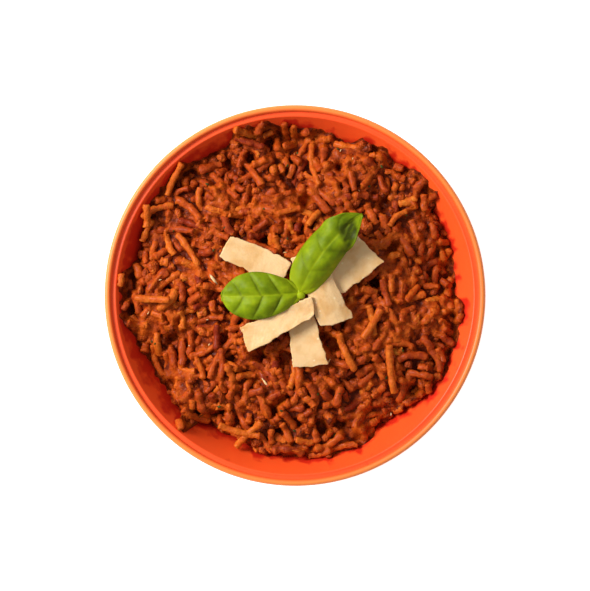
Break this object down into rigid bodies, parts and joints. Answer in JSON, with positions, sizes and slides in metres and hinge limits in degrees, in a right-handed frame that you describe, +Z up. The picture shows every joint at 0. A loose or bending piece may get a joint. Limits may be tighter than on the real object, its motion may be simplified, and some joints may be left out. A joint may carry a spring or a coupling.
{
  "type": "bowl of spaghetti bolognese",
  "caption": "Filled food bowl: a round moulded bowl heaped with short-cut spaghetti in meat sauce, with hard cheese shavings and a basil sprig lying on top.",
  "frame": {"origin": "on the table, under the middle of the bowl's foot ring", "axes": "+Z up; the side facing -Y is the near side as served, +X to the right"},
  "size_m": [0.15, 0.15, 0.0677],
  "materials": {
    "bowl_plastic": "moulded orange melamine, satin to glossy",
    "sauced_pasta": "moist, oily tomato and meat sauce over cooked pasta",
    "hard_cheese": "cut hard cheese, dull and slightly crumbly",
    "basil_leaf": "fresh leaf, satin with puffed cells between the veins"
  },
  "bodies": {
    "root": {"bowl": "bowl_plastic", "bolognese_heap": "sauced_pasta", "cheese_shaving_1": "hard_cheese", "cheese_shaving_2": "hard_cheese", "cheese_shaving_3": "hard_cheese", "cheese_shaving_4": "hard_cheese", "cheese_shaving_5": "hard_cheese", "basil_sprig": "basil_leaf"}
  },
  "joints": []
}
